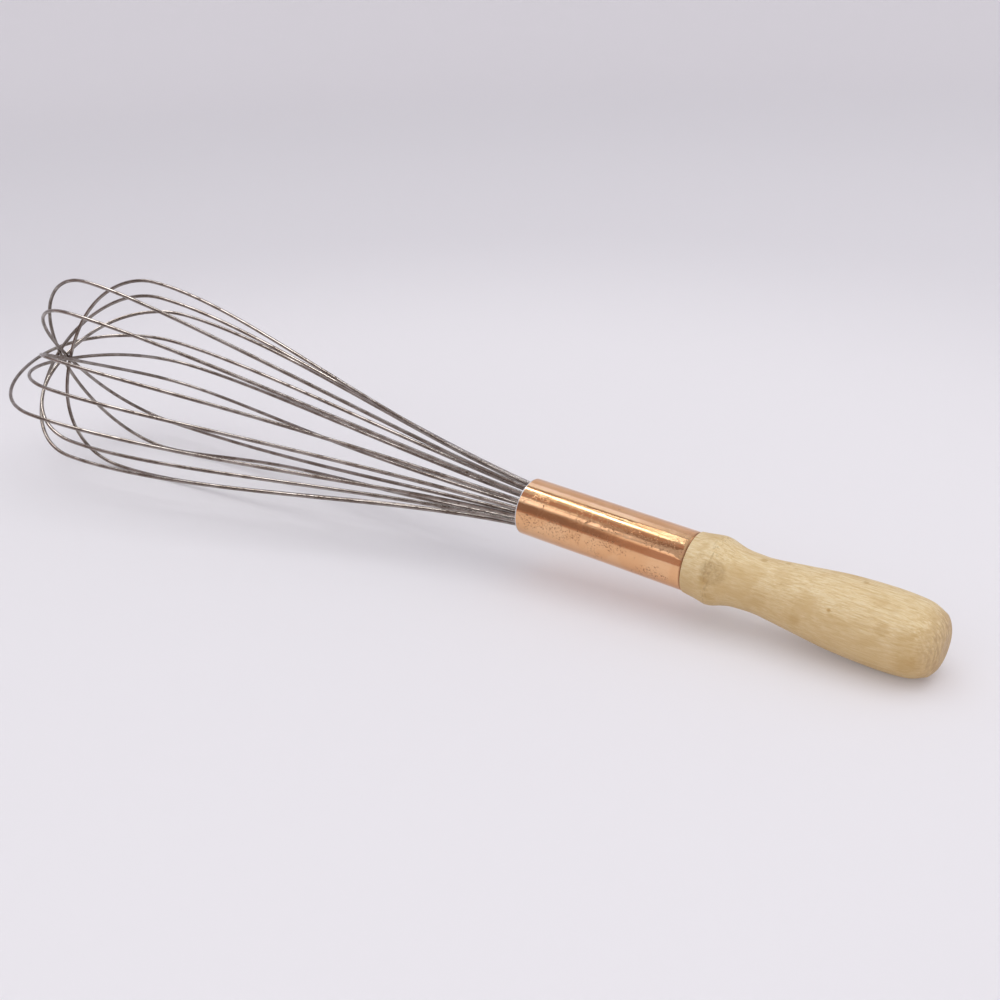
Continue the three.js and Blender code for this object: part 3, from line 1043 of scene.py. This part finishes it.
# Dark sides of the room, which only show in reflections: the same as far as the width, and
# then how bright each one is.
DARK_PANELS = [
    ("dark_line", (0.50, 106), (0.39, 107), 1.2, 0.08, 0.25),
    ("dark_side", (0.75, 17), (0.40, 17), 1.2, 0.56, 0.24),
    ("dim_side", (0.97, 10), (-0.3, 10), 1.4, 0.95, 0.44),
    ("dark_upper", (0.40, 58), (0.30, 54), 1.25, 0.36, 0.22),
    ("warm_gap", (0.56, 68), (0.30, 68), 1.35, 0.34, 0.42),
]
BOARD_COLOUR = (0.02, 0.02, 0.02)
BOARD_GLOW = (1, 0.68, 0.62)

WORLD_COLOUR = (0.98, 0.98, 1.0)
WORLD_STRENGTH = 0.57


def seen_from(axial, height):
    """A direction from the ferrule: its share back along the axis, and its angle above level
    in the plane across the axis, where 90 is up and 0 is towards the front."""
    across = math.sqrt(1 - axial * axial)
    angle = math.radians(height)
    local = Vector((-axial, -across * math.cos(angle), across * math.sin(angle)))
    return (WHISK.to_3x3() @ local).normalized()


def panel_matrix(start, end, distance):
    """Where a panel is whose long side runs between two directions, facing the ferrule."""
    out = (start + end).normalized()
    half_angle = start.angle(end) / 2
    long_way = (end - start).normalized()
    across = out.cross(long_way)
    turn = Matrix((long_way, across, out)).transposed()
    length = 2 * distance * math.tan(half_angle)
    return Matrix.Translation(LIGHT_TARGET + out * distance) @ turn.to_4x4(), length


def light_panel(name, start, end, distance, width, radiance, colour=WHITE):
    matrix, length = panel_matrix(start, end, distance)
    data = bpy.data.lights.new(name, "AREA")
    data.shape = "RECTANGLE"
    data.size = length
    data.size_y = width
    data.energy = radiance * math.pi * length * width
    data.color = colour
    made = bpy.data.objects.new(name, data)
    bpy.context.collection.objects.link(made)
    made.matrix_world = matrix
    made.visible_camera = False
    return made


def dark_panel(name, start, end, distance, width, brightness):
    """A board that glows dimly, and only shows in reflections."""
    matrix, length = panel_matrix(start, end, distance)
    corners = [
        matrix @ Vector((x * length / 2, y * width / 2, 0))
        for x, y in ((-1, -1), (1, -1), (1, 1), (-1, 1))
    ]
    made = mesh_object(name, corners, [(0, 1, 2, 3)])
    look = Look(name)
    look.set(Base_Color=BOARD_COLOUR, Roughness=1.0)
    look.set(Emission_Color=BOARD_GLOW, Emission_Strength=brightness)
    made.data.materials.append(look.material)
    made.visible_camera = False
    made.visible_diffuse = False
    made.visible_shadow = False
    made.visible_transmission = False


def towards(x, y, z):
    return Vector((x, y, z)).normalized()


def room_lights():
    """A soft key light from the right, and two fills that don't show in reflections."""
    key = towards(0.45, 0.42, 0.80)
    sideways = towards(0.5, -0.5, 0) * KEY_HALF_SPREAD
    left = (key - sideways).normalized()
    right = (key + sideways).normalized()
    light_panel("right_key", left, right, 1.5, 1.1, 0.6)
    fill = light_panel(
        "fill", towards(-0.5, 0.0, 0.86), towards(0.5, 0.0, 0.86), 2.6, 2.7, 0.88
    )
    front_fill = light_panel(
        "front_fill", towards(-0.35, -0.75, 0.5), towards(0.85, -0.55, 0.5), 2.4, 1.4, 0.85
    )
    for made in (fill, front_fill):
        made.visible_glossy = False


def world_light():
    world = bpy.data.worlds.new("room")
    bpy.context.scene.world = world
    world.use_nodes = True
    background = world.node_tree.nodes["Background"]
    background.inputs["Color"].default_value = (*WORLD_COLOUR, 1)
    background.inputs["Strength"].default_value = WORLD_STRENGTH


def lights():
    for name, start, end, *shape in REFLECTED_PANELS:
        made = light_panel(name, seen_from(*start), seen_from(*end), *shape)
        made.visible_diffuse = False
    room_lights()
    for name, start, end, *shape in DARK_PANELS:
        dark_panel(name, seen_from(*start), seen_from(*end), *shape)
    world_light()


# ---- Build ----------------------------------------------------------------------------------

add_camera()
bpy.context.scene.view_settings.view_transform = "Standard"

steel = steel_look(
    "steel_wire_used",
    clean=(0.37, 0.335, 0.305),
    dull=(0.23, 0.195, 0.17),
    tarnish=(0.09, 0.055, 0.035),
    brown_amount=0.8,
)
dull_steel = steel_look(
    "binding_steel_dull",
    clean=(0.45, 0.43, 0.40),
    dull=(0.32, 0.30, 0.28),
    tarnish=(0.12, 0.08, 0.05),
    brown_amount=0.5,
)
for index, loop in enumerate(LOOPS, 1):
    wire_loop(loop, index, steel)
ferrule(copper_look())
handle(wood_look())
solder(solder_look())
core_plug(dowel_look())
binding_wire(dull_steel)
floor()
lights()
